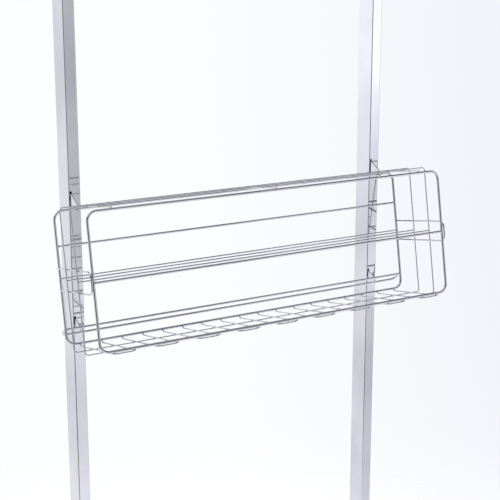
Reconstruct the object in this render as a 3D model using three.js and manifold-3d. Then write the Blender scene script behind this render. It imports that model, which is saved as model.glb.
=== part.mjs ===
// Over the toilet storage rack: two upright chrome posts on T-shaped feet, with one
// tilted two-tier wire basket hung on the front of the posts.
// Millimetres, +Z up, +X to the right, front towards -Y. The origin is on the floor,
// at the middle of the footprint.
import * as THREE from 'three';
import { mergeVertices } from 'three/addons/utils/BufferGeometryUtils.js';
import Module from 'manifold-3d';

const wasm = await Module();
wasm.setup();

// Driving dimensions -------------------------------------------------------

const gap = 0.3;                 // clearance left between touching pieces

const post = { width: 18, depth: 36, wall: 1.5, edge: 1.2, spacing: 530, frontY: 28, topZ: 1745 };
const foot = { width: 18, height: 30, wall: 1.5, edge: 1.2, halfLength: 150, bottomZ: 16 };
const plug = { flange: 3, stem: 38, stemEdge: 1, play: 0.3 };
const cap = { flange: 4, stem: 14 };
const spigot = { height: 60, holeRadius: 4.5, holeDepth: 45 };
const bolt = {
  shankRadius: 4,
  headRadius: 6.5,
  headHeight: 8,
  chamfer: 0.5,
  socketMouth: 3.4,
  socketRadius: 3,
  socketDepth: 4,
  reach: 38,
  accessRadius: 8,
};
const crossBar = { thickness: 4, height: 30, corner: 4, lowZ: 260, highZ: 1725 };
const screw = {
  radius: 2.5,
  headRadius: 4.6,
  headHeight: 2.6,
  crownRadius: 3.2,
  rimHeight: 1.4,
  length: 14,
  holeRadius: 3,
};
const leveller = {
  y: 130,
  padRadius: 15,
  padHeight: 9,
  padTopRadius: 11,
  padChamfer: 1,
  rimHeight: 4,
  socketRadius: 6.5,
  socketZ: 4,
  ballRadius: 6,
  ballHeight: 3,
  collarRadius: 7,
  collarLift: 0.6,
  collarHeight: 4,
  threadRadius: 4,
  holePlay: 0.8,
  borePlay: 0.4,
  topZ: 38,
};

const basket = {
  width: 600,                    // between the centre lines of the frames' upright wires
  depth: 116,                    // between the centre lines of the two frames
  height: 192,                   // between the centre lines of the top and bottom rails
  tilt: THREE.MathUtils.degToRad(10),
  centreZ: 1300,
  setForward: 78,                // from the posts' front faces to the basket's centre
};
const wire = {
  frame: 2,
  hoop: 1,
  floor: 1,
  endLoop: 1.2,
  shelf: 1.2,
  shelfFront: 1.85,
  guard: 1.7,
  bar: 1.8,
};
const bend = { frame: 14, hoop: 5, floor: 8, floorEnd: 4, endLoop: 10, bar: 9, steps: 4 };
const floorWires = { count: 9, pitch: 33.1, upturn: 6 };
const topWires = { count: 3, pitch: 264 };
const endLoopHalfHeight = 15.5;
const guardHeights = { upper: 46, lower: -73 };
const standOff = { y: 76.4, z: -83 };

const hookPlate = { thickness: 2, inset: 2, faceGap: 0.5, lift: 7 };
const upperPlate = { reach: 24, nose: 7, rise: 20, neckLow: 10.5, neckHigh: 16, toothLow: 4 };
const lowerPlate = { reach: 19, nose: 5.5, rise: 14.5, neckLow: 6.5, neckHigh: 10.5, toothLow: 0 };
const tooth = { front: 1.9, back: 4.7 };
const slotWidth = 3.2;

// Materials ----------------------------------------------------------------

const chrome = { color: 0xd9dbe0, metalness: 1, roughness: 0.12 };
const zinc = { color: 0xb4b6ba, metalness: 1, roughness: 0.35 };
const greyPlastic = { color: 0x9b9ca2, metalness: 0, roughness: 0.45 };
const blackRubber = { color: 0x2b2b2e, metalness: 0, roughness: 0.8 };

const rack = new THREE.Group();

function addMesh(parent, name, geometry, look) {
  const mesh = new THREE.Mesh(geometry, new THREE.MeshStandardMaterial(look));
  mesh.name = name;
  parent.add(mesh);
  return mesh;
}

// Solids, cuts and joins ---------------------------------------------------

function toSolid(geometry) {
  const bare = geometry.index ? geometry.toNonIndexed() : geometry.clone();
  bare.deleteAttribute('normal');
  bare.deleteAttribute('uv');
  const merged = mergeVertices(bare, 1e-4);
  const mesh = new wasm.Mesh({
    numProp: 3,
    vertProperties: new Float32Array(merged.attributes.position.array),
    triVerts: new Uint32Array(merged.index.array),
  });
  return new wasm.Manifold(mesh);
}

function toGeometry(solid) {
  const mesh = solid.getMesh();
  const geometry = new THREE.BufferGeometry();
  const positions = new Float32Array(mesh.vertProperties);
  geometry.setAttribute('position', new THREE.BufferAttribute(positions, 3));
  geometry.setIndex(Array.from(mesh.triVerts));
  geometry.computeVertexNormals();
  return geometry;
}

function cut(geometry, cutters) {
  const solid = cutters.reduce((rest, cutter) => rest.subtract(toSolid(cutter)), toSolid(geometry));
  return toGeometry(solid);
}

function join(geometries) {
  const [first, ...others] = geometries.map(toSolid);
  return toGeometry(others.reduce((sum, other) => sum.add(other), first));
}

function box(width, depth, height, x, y, z) {
  return new THREE.BoxGeometry(width, depth, height).translate(x, y, z);
}

// A cylinder along Z from one height to another.
function upright(radius, lowZ, highZ, x, y, sides = 16) {
  const height = highZ - lowZ;
  const solid = new THREE.CylinderGeometry(radius, radius, height, sides);
  return solid.rotateX(Math.PI / 2).translate(x, y, lowZ + height / 2);
}

// A turned piece about Z, from [radius, z] pairs that start and end on the axis.
function turned(profile, sides = 20) {
  const points = profile.map(([radius, z]) => new THREE.Vector2(radius, z));
  return new THREE.LatheGeometry(points, sides).rotateX(Math.PI / 2);
}

function roundedRectangle(width, height, radius) {
  const shape = new THREE.Shape();
  const x = width / 2 - radius;
  const y = height / 2 - radius;
  shape.absarc(x, y, radius, 0, Math.PI / 2);
  shape.absarc(-x, y, radius, Math.PI / 2, Math.PI);
  shape.absarc(-x, -y, radius, Math.PI, Math.PI * 1.5);
  shape.absarc(x, -y, radius, Math.PI * 1.5, Math.PI * 2);
  shape.closePath();
  return shape;
}

// Pulls a section up from z = 0.
function extruded(section, length) {
  return new THREE.ExtrudeGeometry(section, { depth: length, bevelEnabled: false, curveSegments: 3 });
}

// A rectangular tube along Z, open at both ends.
function boxTube({ width, height, wall, edge }, length) {
  const section = roundedRectangle(width, height, edge);
  section.holes.push(roundedRectangle(width - 2 * wall, height - 2 * wall, edge / 3));
  return extruded(section, length);
}

function roundedBlock(width, height, radius, length) {
  return extruded(roundedRectangle(width, height, radius), length);
}

// Wires --------------------------------------------------------------------

// A bent wire's centre line: it is sampled at its bends only, because the runs are straight.
class WirePath extends THREE.Curve {
  constructor(stations) {
    super();
    this.stations = stations;
  }

  station(t) {
    return this.stations[Math.round(t * (this.stations.length - 1))];
  }

  getPoint(t, target = new THREE.Vector3()) {
    return target.copy(this.station(t).point);
  }

  getTangent(t, target = new THREE.Vector3()) {
    return target.copy(this.station(t).tangent);
  }

  getUtoTmapping(u) {
    return u;
  }
}

// Rounds each inner corner of a run of points to the bend radius.
function bentPath(corners, bendRadius) {
  const points = corners.map((corner) => new THREE.Vector3(...corner));
  const stations = [];
  const towards = (from, to) => to.clone().sub(from).normalize();
  stations.push({ point: points[0], tangent: towards(points[0], points[1]) });
  for (let i = 1; i < points.length - 1; i += 1) {
    const before = towards(points[i - 1], points[i]);
    const after = towards(points[i], points[i + 1]);
    const angle = before.angleTo(after);
    const cutBack = bendRadius * Math.tan(angle / 2);
    const start = points[i].clone().addScaledVector(before, -cutBack);
    const inward = after.clone().addScaledVector(before, -Math.cos(angle)).normalize();
    for (let step = 0; step <= bend.steps; step += 1) {
      const turn = (angle * step) / bend.steps;
      const point = start.clone();
      point.addScaledVector(before, bendRadius * Math.sin(turn));
      point.addScaledVector(inward, bendRadius * (1 - Math.cos(turn)));
      const tangent = before.clone().multiplyScalar(Math.cos(turn));
      tangent.addScaledVector(inward, Math.sin(turn));
      stations.push({ point, tangent });
    }
  }
  const last = points.length - 1;
  stations.push({ point: points[last], tangent: towards(points[last - 1], points[last]) });
  return new WirePath(stations);
}

// Sweeps a round section along a path of stations.
function wireAlong(path, radius) {
  const circle = new THREE.Path().absarc(0, 0, radius, 0, Math.PI * 2);
  return new THREE.ExtrudeGeometry(new THREE.Shape(circle.getPoints(4)), {
    steps: path.stations.length - 1,
    bevelEnabled: false,
    extrudePath: path,
  });
}

function roundWire(corners, radius, bendRadius = 0) {
  return wireAlong(bentPath(corners, bendRadius), radius);
}

// A rectangular ring of wire, butt-jointed at the middle of its bottom run.
function wireRing(halfWidth, halfHeight, y, radius, bendRadius) {
  const butt = gap / 2;
  const corners = [
    [butt, y, -halfHeight],
    [halfWidth, y, -halfHeight],
    [halfWidth, y, halfHeight],
    [-halfWidth, y, halfHeight],
    [-halfWidth, y, -halfHeight],
    [-butt, y, -halfHeight],
  ];
  return roundWire(corners, radius, bendRadius);
}

// Stand --------------------------------------------------------------------

const postCentreY = post.frontY + post.depth / 2;
const footTopZ = foot.bottomZ + foot.height;
const basketCentreY = post.frontY - basket.setForward;

// A point of the tilted basket as a height and a depth in the rack's own frame.
function placedOnRack(y, z) {
  const cos = Math.cos(basket.tilt);
  const sin = Math.sin(basket.tilt);
  return { y: basketCentreY + y * cos + z * sin, z: basket.centreZ - y * sin + z * cos };
}

const rearRail = placedOnRack(basket.depth / 2, basket.height / 2);
const bar = placedOnRack(standOff.y, standOff.z);
const upperPlateZ = rearRail.z + wire.frame + gap;
const lowerPlateZ = bar.z + wire.bar + gap;
const sides = [
  { side: 'left', x: -post.spacing / 2 },
  { side: 'right', x: post.spacing / 2 },
];
const plateX = (x) => x - post.width / 2 + hookPlate.inset + hookPlate.thickness / 2;

// The slot in a post's front face that a hook plate's tooth goes through.
function hookSlot(x, plate, plateZ) {
  const low = plateZ + plate.neckLow - gap;
  const high = plateZ + plate.neckHigh + hookPlate.lift + gap;
  return box(slotWidth, post.wall * 3, high - low, plateX(x), post.frontY, (low + high) / 2);
}

function screwHole(x, z) {
  const length = crossBar.thickness * 4;
  const hole = new THREE.CylinderGeometry(screw.holeRadius, screw.holeRadius, length, 12);
  return hole.translate(x, post.frontY + post.depth, z);
}

function buildPost({ side, x }) {
  const size = { width: post.width, height: post.depth, wall: post.wall, edge: post.edge };
  const bottomZ = footTopZ + gap;
  const tube = boxTube(size, post.topZ - bottomZ).translate(x, postCentreY, bottomZ);
  const cutters = [
    hookSlot(x, upperPlate, upperPlateZ),
    hookSlot(x, lowerPlate, lowerPlateZ),
    screwHole(x, crossBar.lowZ),
    screwHole(x, crossBar.highZ),
  ];
  addMesh(rack, `${side}_post`, cut(tube, cutters), chrome);

  const innerWidth = post.width - 2 * post.wall - 2 * plug.play;
  const innerDepth = post.depth - 2 * post.wall - 2 * plug.play;
  const capTop = roundedBlock(post.width, post.depth, post.edge, cap.flange);
  const capStem = roundedBlock(innerWidth, innerDepth, plug.stemEdge, cap.stem + cap.flange / 2);
  capStem.translate(0, 0, -cap.stem);
  const capSolid = join([capTop, capStem]).translate(x, postCentreY, post.topZ + gap);
  addMesh(rack, `${side}_post_cap`, capSolid, greyPlastic);

  const block = roundedBlock(innerWidth, innerDepth, plug.stemEdge, spigot.height);
  block.translate(x, postCentreY, bottomZ);
  const boreStart = bottomZ - spigot.holeRadius;
  const bore = upright(spigot.holeRadius, boreStart, bottomZ + spigot.holeDepth, x, postCentreY);
  addMesh(rack, `${side}_post_spigot`, cut(block, [bore]), zinc);
}

function buildFoot({ side, x }) {
  const length = 2 * foot.halfLength;
  const centreZ = foot.bottomZ + foot.height / 2;
  const tube = boxTube(foot, length).translate(0, 0, -foot.halfLength).rotateX(Math.PI / 2);
  tube.translate(x, 0, centreZ);
  const belowFoot = foot.bottomZ - foot.wall;
  const aboveFloor = foot.bottomZ + 2 * foot.wall;
  const cutters = [
    upright(spigot.holeRadius, footTopZ - 2 * foot.wall, footTopZ + foot.wall, x, postCentreY),
    upright(bolt.accessRadius, belowFoot, aboveFloor, x, postCentreY),
  ];
  const studHole = leveller.threadRadius + leveller.holePlay;
  for (const y of [-leveller.y, leveller.y]) {
    cutters.push(upright(studHole, belowFoot, aboveFloor, x, y));
  }
  addMesh(rack, `${side}_foot_tube`, cut(tube, cutters), chrome);

  const headTopZ = footTopZ - foot.wall - gap;
  const headBottomZ = headTopZ - bolt.headHeight;
  const boltProfile = [
    [0, headBottomZ + bolt.socketDepth],
    [bolt.socketRadius, headBottomZ + bolt.socketDepth],
    [bolt.socketMouth, headBottomZ],
    [bolt.headRadius - bolt.chamfer, headBottomZ],
    [bolt.headRadius, headBottomZ + bolt.chamfer],
    [bolt.headRadius, headTopZ],
    [bolt.shankRadius, headTopZ],
    [bolt.shankRadius, headTopZ + bolt.reach],
    [0, headTopZ + bolt.reach],
  ];
  addMesh(rack, `${side}_foot_bolt`, turned(boltProfile).translate(x, postCentreY, 0), zinc);

  for (const [end, direction] of [['front', -1], ['rear', 1]]) {
    buildFootEnd(`${side}_${end}`, x, direction);
  }
}

// A plug closes one end of the foot tube, and a levelling foot screws up into it.
function buildFootEnd(name, x, direction) {
  const innerWidth = foot.width - 2 * foot.wall - 2 * plug.play;
  const innerHeight = foot.height - 2 * foot.wall - 2 * plug.play;
  const centreZ = foot.bottomZ + foot.height / 2;
  const flange = roundedBlock(foot.width, foot.height, foot.edge, plug.flange);
  const stem = roundedBlock(innerWidth, innerHeight, plug.stemEdge, plug.stem + plug.flange / 2);
  stem.translate(0, 0, -plug.stem);
  const body = join([flange, stem]).rotateX(-direction * Math.PI / 2);
  body.translate(x, direction * (foot.halfLength + gap), centreZ);
  const y = direction * leveller.y;
  const boreRadius = leveller.threadRadius + leveller.borePlay;
  const bore = upright(boreRadius, foot.bottomZ - foot.wall, leveller.topZ + plug.flange, x, y);
  addMesh(rack, `${name}_foot_plug`, cut(body, [bore]), greyPlastic);

  const collarZ = leveller.padHeight + leveller.collarLift;
  const stud = [
    [0, leveller.socketZ + gap],
    [leveller.ballRadius, leveller.socketZ + gap],
    [leveller.ballRadius, leveller.socketZ + leveller.ballHeight],
    [leveller.threadRadius, leveller.socketZ + leveller.ballHeight + leveller.padChamfer],
    [leveller.threadRadius, collarZ],
    [leveller.collarRadius, collarZ],
    [leveller.collarRadius, collarZ + leveller.collarHeight],
    [leveller.threadRadius, collarZ + leveller.collarHeight],
    [leveller.threadRadius, leveller.topZ],
    [0, leveller.topZ],
  ];
  addMesh(rack, `${name}_levelling_stud`, turned(stud, 12).translate(x, y, 0), zinc);

  const pad = [
    [0, 0],
    [leveller.padRadius - leveller.padChamfer, 0],
    [leveller.padRadius, leveller.padChamfer],
    [leveller.padRadius, leveller.rimHeight],
    [leveller.padTopRadius, leveller.padHeight],
    [leveller.socketRadius, leveller.padHeight],
    [leveller.socketRadius, leveller.socketZ],
    [0, leveller.socketZ],
  ];
  addMesh(rack, `${name}_levelling_pad`, turned(pad, 24).translate(x, y, 0), blackRubber);
}

function buildCrossBar(name, z) {
  const rearY = post.frontY + post.depth + gap;
  const length = post.spacing + post.width;
  const blank = roundedBlock(length, crossBar.height, crossBar.corner, crossBar.thickness);
  const plate = blank.rotateX(Math.PI / 2).translate(0, rearY + crossBar.thickness, z);
  const holes = sides.map(({ x }) => screwHole(x, z));
  addMesh(rack, name, cut(plate, holes), chrome);

  for (const { side, x } of sides) {
    const profile = [
      [0, -screw.headHeight],
      [screw.crownRadius, -screw.headHeight],
      [screw.headRadius, -screw.rimHeight],
      [screw.headRadius, 0],
      [screw.radius, 0],
      [screw.radius, screw.length],
      [0, screw.length],
    ];
    const fastener = turned(profile, 12).rotateX(Math.PI / 2);
    fastener.translate(x, rearY + crossBar.thickness + gap, z);
    addMesh(rack, `${name}_${side}_screw`, fastener, zinc);
  }
}

for (const place of sides) {
  buildPost(place);
  buildFoot(place);
}
buildCrossBar('lower_cross_bar', crossBar.lowZ);
buildCrossBar('upper_cross_bar', crossBar.highZ);

// Basket -------------------------------------------------------------------

const cage = new THREE.Group();
cage.position.set(0, basketCentreY, basket.centreZ);
cage.rotation.x = -basket.tilt;
rack.add(cage);

const halfWidth = basket.width / 2;
const halfDepth = basket.depth / 2;
const halfHeight = basket.height / 2;
const floorZ = -(halfHeight + wire.frame + wire.floor + gap);
const loopX = halfWidth + wire.frame + wire.endLoop + gap;
const hoopHalfWidth = loopX + wire.endLoop + wire.hoop + gap;
const hoopHalfHeight = -floorZ + wire.floor + wire.hoop + gap;
const hoopY = halfDepth / 3;

// The two thick frames stand at the front and the back; two thin hoops pass round outside.
function buildFramesAndHoops() {
  for (const [name, y] of [['rear_frame', halfDepth], ['front_frame', -halfDepth]]) {
    addMesh(cage, name, wireRing(halfWidth, halfHeight, y, wire.frame, bend.frame), chrome);
  }
  for (const [name, y] of [['rear_hoop', hoopY], ['front_hoop', -hoopY]]) {
    addMesh(cage, name, wireRing(hoopHalfWidth, hoopHalfHeight, y, wire.hoop, bend.hoop), chrome);
  }
}

// Each floor wire is a hairpin: two legs that turn up inside the rear rail, and a closed
// bend that shows just below the front rail.
function buildFloor() {
  const rearY = halfDepth - wire.frame - wire.floor - gap;
  const frontY = -halfDepth - wire.frame - wire.floor;
  const innerZ = floorZ + floorWires.upturn;
  for (let i = 0; i < floorWires.count; i += 1) {
    const x = (i - (floorWires.count - 1) / 2) * 2 * floorWires.pitch;
    const left = x - floorWires.pitch / 2;
    const right = x + floorWires.pitch / 2;
    const turnUp = bentPath(
      [[left, rearY, innerZ], [left, rearY, floorZ], [left, 0, floorZ]],
      bend.floorEnd,
    ).stations.slice(0, -1);
    const turnRound = bentPath(
      [[left, 0, floorZ], [left, frontY, floorZ], [right, frontY, floorZ], [right, 0, floorZ]],
      bend.floor,
    ).stations.slice(1, -1);
    const mirrored = turnUp.map(({ point, tangent }) => ({
      point: point.clone().setX(right),
      tangent: tangent.clone().negate(),
    })).reverse();
    const path = new WirePath([...turnUp, ...turnRound, ...mirrored]);
    addMesh(cage, `floor_wire_${i + 1}`, wireAlong(path, wire.floor), chrome);
  }
}

function buildTopWires() {
  const reach = halfDepth + wire.frame;
  for (let i = 0; i < topWires.count; i += 1) {
    const x = (i - (topWires.count - 1) / 2) * topWires.pitch;
    const ends = [[x, reach, -floorZ], [x, -reach, -floorZ]];
    addMesh(cage, `top_wire_${i + 1}`, roundWire(ends, wire.floor), chrome);
  }
}

// Lengthwise wires halfway up make the upper shelf; guard wires close the back.
function buildLengthwiseWires() {
  const acrossFrame = halfWidth - wire.frame - gap;
  const acrossHoop = hoopHalfWidth - wire.hoop - gap;
  const runs = [
    ['shelf_wire_rear', acrossFrame, halfDepth, 0, wire.shelf],
    ['shelf_wire_middle_rear', acrossHoop, hoopY, 0, wire.shelf],
    ['shelf_wire_middle_front', acrossHoop, -hoopY, 0, wire.shelf],
    ['shelf_wire_front', acrossFrame, -halfDepth, 0, wire.shelfFront],
    ['upper_guard_wire', acrossFrame, halfDepth, guardHeights.upper, wire.guard],
    ['lower_guard_wire', acrossFrame, halfDepth, guardHeights.lower, wire.guard],
  ];
  for (const [name, reach, y, z, radius] of runs) {
    addMesh(cage, name, roundWire([[-reach, y, z], [reach, y, z]], radius), chrome);
  }
}

// A long narrow loop at each end, open at the back and closed in front of the front frame.
function buildEndLoops() {
  const noseY = -halfDepth - wire.frame;
  for (const [side, direction] of [['left', -1], ['right', 1]]) {
    const x = direction * loopX;
    const corners = [
      [x, halfDepth, endLoopHalfHeight],
      [x, noseY, endLoopHalfHeight],
      [x, noseY, -endLoopHalfHeight],
      [x, halfDepth, -endLoopHalfHeight],
    ];
    addMesh(cage, `${side}_end_loop`, roundWire(corners, wire.endLoop, bend.endLoop), chrome);
  }
}

// The bar behind the bottom of the basket keeps the basket tilted.
function buildStandOffBar() {
  const start = halfDepth + wire.frame + gap + wire.bar;
  const corners = [
    [-halfWidth, start, guardHeights.lower],
    [-halfWidth, standOff.y, standOff.z],
    [halfWidth, standOff.y, standOff.z],
    [halfWidth, start, guardHeights.lower],
  ];
  addMesh(cage, 'stand_off_bar', roundWire(corners, wire.bar, bend.bar), chrome);
}

// Upright plates welded on the rear rail and on the stand-off bar: the tooth at the back
// of each goes through a slot in the post and hangs down behind its wall.
function buildHookPlate(name, x, plate, plateZ) {
  const outline = [
    [-plate.reach, 0],
    [-hookPlate.faceGap, 0],
    [-hookPlate.faceGap, plate.neckLow],
    [tooth.front, plate.neckLow],
    [tooth.front, plate.toothLow],
    [tooth.back, plate.toothLow],
    [tooth.back, plate.neckHigh],
    [-hookPlate.faceGap, plate.neckHigh],
    [-hookPlate.faceGap, plate.rise],
    [-plate.reach, plate.nose],
  ];
  const shape = new THREE.Shape(outline.map(([y, z]) => new THREE.Vector2(y, z)));
  const geometry = extruded(shape, hookPlate.thickness);
  geometry.rotateX(Math.PI / 2).rotateZ(Math.PI / 2);
  geometry.translate(plateX(x) - hookPlate.thickness / 2, post.frontY, plateZ);
  addMesh(rack, name, geometry, chrome);
}

buildFramesAndHoops();
buildFloor();
buildTopWires();
buildLengthwiseWires();
buildEndLoops();
buildStandOffBar();
for (const { side, x } of sides) {
  buildHookPlate(`${side}_upper_hook_plate`, x, upperPlate, upperPlateZ);
  buildHookPlate(`${side}_lower_hook_plate`, x, lowerPlate, lowerPlateZ);
}

export default rack;
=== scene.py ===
# Over the toilet storage rack: two chrome posts on T-shaped feet, and a tilted wire basket hung on them.
import bmesh
import bpy
import math
from mathutils import Matrix, Vector


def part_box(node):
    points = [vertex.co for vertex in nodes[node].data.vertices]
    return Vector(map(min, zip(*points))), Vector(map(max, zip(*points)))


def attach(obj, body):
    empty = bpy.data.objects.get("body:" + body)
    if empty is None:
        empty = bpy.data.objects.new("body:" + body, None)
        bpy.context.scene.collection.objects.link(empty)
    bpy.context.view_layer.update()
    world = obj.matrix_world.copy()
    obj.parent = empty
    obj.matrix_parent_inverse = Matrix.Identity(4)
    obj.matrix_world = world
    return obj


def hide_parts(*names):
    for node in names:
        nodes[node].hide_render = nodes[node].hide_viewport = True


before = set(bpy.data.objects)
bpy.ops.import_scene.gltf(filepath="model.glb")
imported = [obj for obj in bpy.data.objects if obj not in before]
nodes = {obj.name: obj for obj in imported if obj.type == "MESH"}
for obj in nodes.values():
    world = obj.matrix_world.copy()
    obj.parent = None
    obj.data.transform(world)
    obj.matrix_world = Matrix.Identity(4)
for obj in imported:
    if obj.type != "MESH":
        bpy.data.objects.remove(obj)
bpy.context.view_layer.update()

scene = bpy.context.scene
print("frame loaded:", len(nodes), "CAD nodes")


# ---- shader maths

# Wraps an output socket, so that shader maths reads as a plain expression.
class Wire:
    def __init__(self, finish, socket):
        self.finish = finish
        self.socket = socket

    def maths(self, operation, first, second=0.0):
        return self.finish.node("ShaderNodeMath", {"operation": operation}, {0: first, 1: second})

    def __add__(self, other):
        return self.maths("ADD", self, other)

    def __radd__(self, other):
        return self.maths("ADD", other, self)

    def __sub__(self, other):
        return self.maths("SUBTRACT", self, other)

    def __rsub__(self, other):
        return self.maths("SUBTRACT", other, self)

    def __mul__(self, other):
        return self.maths("MULTIPLY", self, other)

    def __rmul__(self, other):
        return self.maths("MULTIPLY", other, self)

    def size(self):
        return self.maths("ABSOLUTE", self)

    def least(self, other):
        return self.maths("MINIMUM", self, other)

    def most(self, other):
        return self.maths("MAXIMUM", self, other)

    # 0 where the value is at low, 1 where it is at high, eased in between.
    def eased(self, low, high):
        settings = {"interpolation_type": "SMOOTHSTEP"}
        sockets = {"Value": self, "From Min": low, "From Max": high}
        return self.finish.node("ShaderNodeMapRange", settings, sockets)

    # 1 between the end of the rise and the start of the fall.
    def within(self, rise, fall):
        return self.eased(*rise) * (1 - self.eased(*fall))


# A node tree being filled in: a material's or the world's.
class Finish:
    def __init__(self, owner, ending):
        owner.use_nodes = True
        self.owner = owner
        self.tree = owner.node_tree
        self.tree.nodes.clear()
        self.ending = self.tree.nodes.new(ending)

    def node(self, kind, settings=None, sockets=None, output=0):
        made = self.tree.nodes.new(kind)
        for name, value in (settings or {}).items():
            setattr(made, name, value)
        for name, value in (sockets or {}).items():
            self.join(made.inputs[name], value)
        return Wire(self, made.outputs[output])

    def join(self, socket, value):
        if isinstance(value, Wire):
            self.tree.links.new(value.socket, socket)
        else:
            socket.default_value = value

    def place(self, stretch=(1, 1, 1)):
        here = self.node("ShaderNodeTexCoord", output="Object")
        return self.node("ShaderNodeMapping", {}, {"Vector": here, "Scale": stretch})

    # The three parts of a vector, each as a value.
    def parts(self, vector):
        split = self.node("ShaderNodeSeparateXYZ", {}, {0: vector}).socket.node
        return [Wire(self, output) for output in split.outputs]

    def noise(self, place, scale, detail=2.0, roughness=0.5):
        sockets = {"Vector": place, "Scale": scale, "Detail": detail, "Roughness": roughness}
        return self.node("ShaderNodeTexNoise", {}, sockets)

    # A Mix node's colour sockets are its seventh and eighth, and its colour comes out third.
    def blendColour(self, share, first, second):
        return self.node("ShaderNodeMix", {"data_type": "RGBA"}, {0: share, 6: first, 7: second}, 2)

    def bump(self, height, strength, distance, under=None):
        sockets = {"Height": height, "Strength": strength, "Distance": distance}
        if under is not None:
            sockets["Normal"] = under
        return self.node("ShaderNodeBump", {}, sockets)

    def surface(self, **values):
        sockets = {name.replace("_", " "): value for name, value in values.items()}
        shader = self.node("ShaderNodeBsdfPrincipled", {}, sockets)
        self.tree.links.new(shader.socket, self.ending.inputs["Surface"])
        return self.owner


def newMaterial(name):
    return Finish(bpy.data.materials.new(name), "ShaderNodeOutputMaterial")


# ---- materials

chromeLook = {
    "bright": (0.74, 0.745, 0.785, 1), "shade": (0.62, 0.625, 0.68, 1), "spot": (0.52, 0.52, 0.56, 1),
    "rubbed": (0.88, 0.87, 0.86, 1), "roughness": 0.045, "smudge": 0.10, "spotRoughness": 0.22,
    "hairRoughness": 0.06, "rubRoughness": 0.12, "cloudScale": 7.0, "smudgeScale": 38.0, "spotScale": 140.0,
    "spotGroupScale": 22.0, "hairScale": 900.0, "grainScale": 2600.0, "rippleScale": 26.0, "rubScale": 60.0,
    "ripple": 0.00012, "wireRipple": 0.15, "grain": 0.00002, "edgeWidth": 0.0022,
}


# Plated steel: slow ripples in the plating, smudges, dried water spots and hairline scratches.
def makeChrome(name, stretch, ripple, edges=None):
    look = chromeLook
    f = newMaterial(name)
    here = f.place()
    cloud = f.noise(here, look["cloudScale"], 3.0, 0.55).eased(0.32, 0.7)
    smudge = f.noise(f.place((1.0, 1.0, 0.35)), look["smudgeScale"], 4.0, 0.6).eased(0.48, 0.74)
    spots = f.node("ShaderNodeTexVoronoi", {}, {"Vector": here, "Scale": look["spotScale"]})
    spot = (1 - spots.eased(0.05, 0.12)) * f.noise(here, look["spotGroupScale"]).eased(0.55, 0.68)
    hairs = f.noise(f.place(stretch), look["hairScale"], 3.0, 0.7).eased(0.60, 0.72)
    grain = f.noise(here, look["grainScale"], 2.0)
    slow = f.noise(f.place((1.0, 1.0, 0.3)), look["rippleScale"], 1.0)
    colour = f.blendColour(cloud, look["shade"], look["bright"])
    colour = f.blendColour(spot * 0.6, colour, look["spot"])
    rough = look["roughness"] + smudge * look["smudge"]
    rough = rough + spot * look["spotRoughness"] + hairs * look["hairRoughness"]
    if edges is not None:
        rub = edges(f) * f.noise(here, look["rubScale"], 3.0).eased(0.35, 0.65)
        colour = f.blendColour(rub * 0.35, colour, look["rubbed"])
        rough = rough + rub * look["rubRoughness"]
    normal = f.bump(slow, 0.6, ripple)
    normal = f.bump(grain * 0.35 + hairs * 0.5 - spot * 0.8, 0.25, look["grain"], normal)
    return f.surface(Base_Color=colour, Metallic=1.0, Roughness=rough, Normal=normal)


# How near a point is to the long corners of two tubes side by side: 1 at a corner, 0 away from it.
# The tubes are centred at two places along X and at one place along the other axis.
def cornerRub(middles, half, axis):
    centre = middles[0][axis]

    def mask(f):
        place = f.parts(f.place())
        nearest = None
        for middle in middles:
            away = ((place[0] - middle.x).size() - half.x).size()
            nearest = away if nearest is None else nearest.least(away)
        total = nearest + ((place[axis] - centre).size() - half[axis]).size()
        return 1 - total.eased(0.0, chromeLook["edgeWidth"])
    return mask


zincLook = {
    "light": (0.62, 0.63, 0.65, 1), "dark": (0.40, 0.41, 0.44, 1), "tint": (0.60, 0.58, 0.50, 1),
    "roughness": 0.30, "spangleScale": 900.0, "cloudScale": 160.0, "tintScale": 55.0, "grainScale": 3200.0,
    "relief": 0.00003,
}


# Zinc-plated fastener steel: cloudy spangle with a faint yellow passivation.
def makeZinc():
    look = zincLook
    f = newMaterial("zinc plated steel")
    here = f.place()
    spangle = f.node("ShaderNodeTexVoronoi", {}, {"Vector": here, "Scale": look["spangleScale"]})
    cloud = f.noise(here, look["cloudScale"], 4.0, 0.6)
    colour = f.blendColour(cloud.eased(0.35, 0.7), look["dark"], look["light"])
    colour = f.blendColour(f.noise(here, look["tintScale"]).eased(0.5, 0.75) * 0.5, colour, look["tint"])
    rough = look["roughness"] + cloud * 0.22
    normal = f.bump(spangle * 0.5 + f.noise(here, look["grainScale"]) * 0.5, 0.35, look["relief"])
    return f.surface(Base_Color=colour, Metallic=1.0, Roughness=rough, Normal=normal)


plasticLook = {
    "base": (0.30, 0.305, 0.33, 1), "pale": (0.42, 0.425, 0.45, 1), "roughness": 0.42, "scuffScale": 300.0,
    "toneScale": 30.0, "textureScale": 2400.0, "relief": 0.00006,
}


# Moulded grey plastic: a fine spark-eroded texture, with scuffs where hands and floors rub it.
def makePlastic():
    look = plasticLook
    f = newMaterial("grey moulded plastic")
    here = f.place()
    scuff = f.noise(f.place((1.0, 0.25, 1.0)), look["scuffScale"], 4.0, 0.65).eased(0.58, 0.74)
    tone = f.noise(here, look["toneScale"], 2.0)
    colour = f.blendColour(tone.eased(0.3, 0.75) * 0.35 + scuff * 0.5, look["base"], look["pale"])
    texture = f.noise(here, look["textureScale"], 3.0, 0.6)
    rough = look["roughness"] + texture * 0.12 + scuff * 0.14
    normal = f.bump(texture, 0.35, look["relief"])
    return f.surface(Base_Color=colour, Roughness=rough, Normal=normal)


rubberLook = {
    "base": (0.018, 0.018, 0.020, 1), "dust": (0.11, 0.105, 0.10, 1), "dustHeight": 0.009,
    "roughness": 0.72, "dustScale": 220.0, "poreScale": 1800.0, "relief": 0.00010,
}


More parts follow.
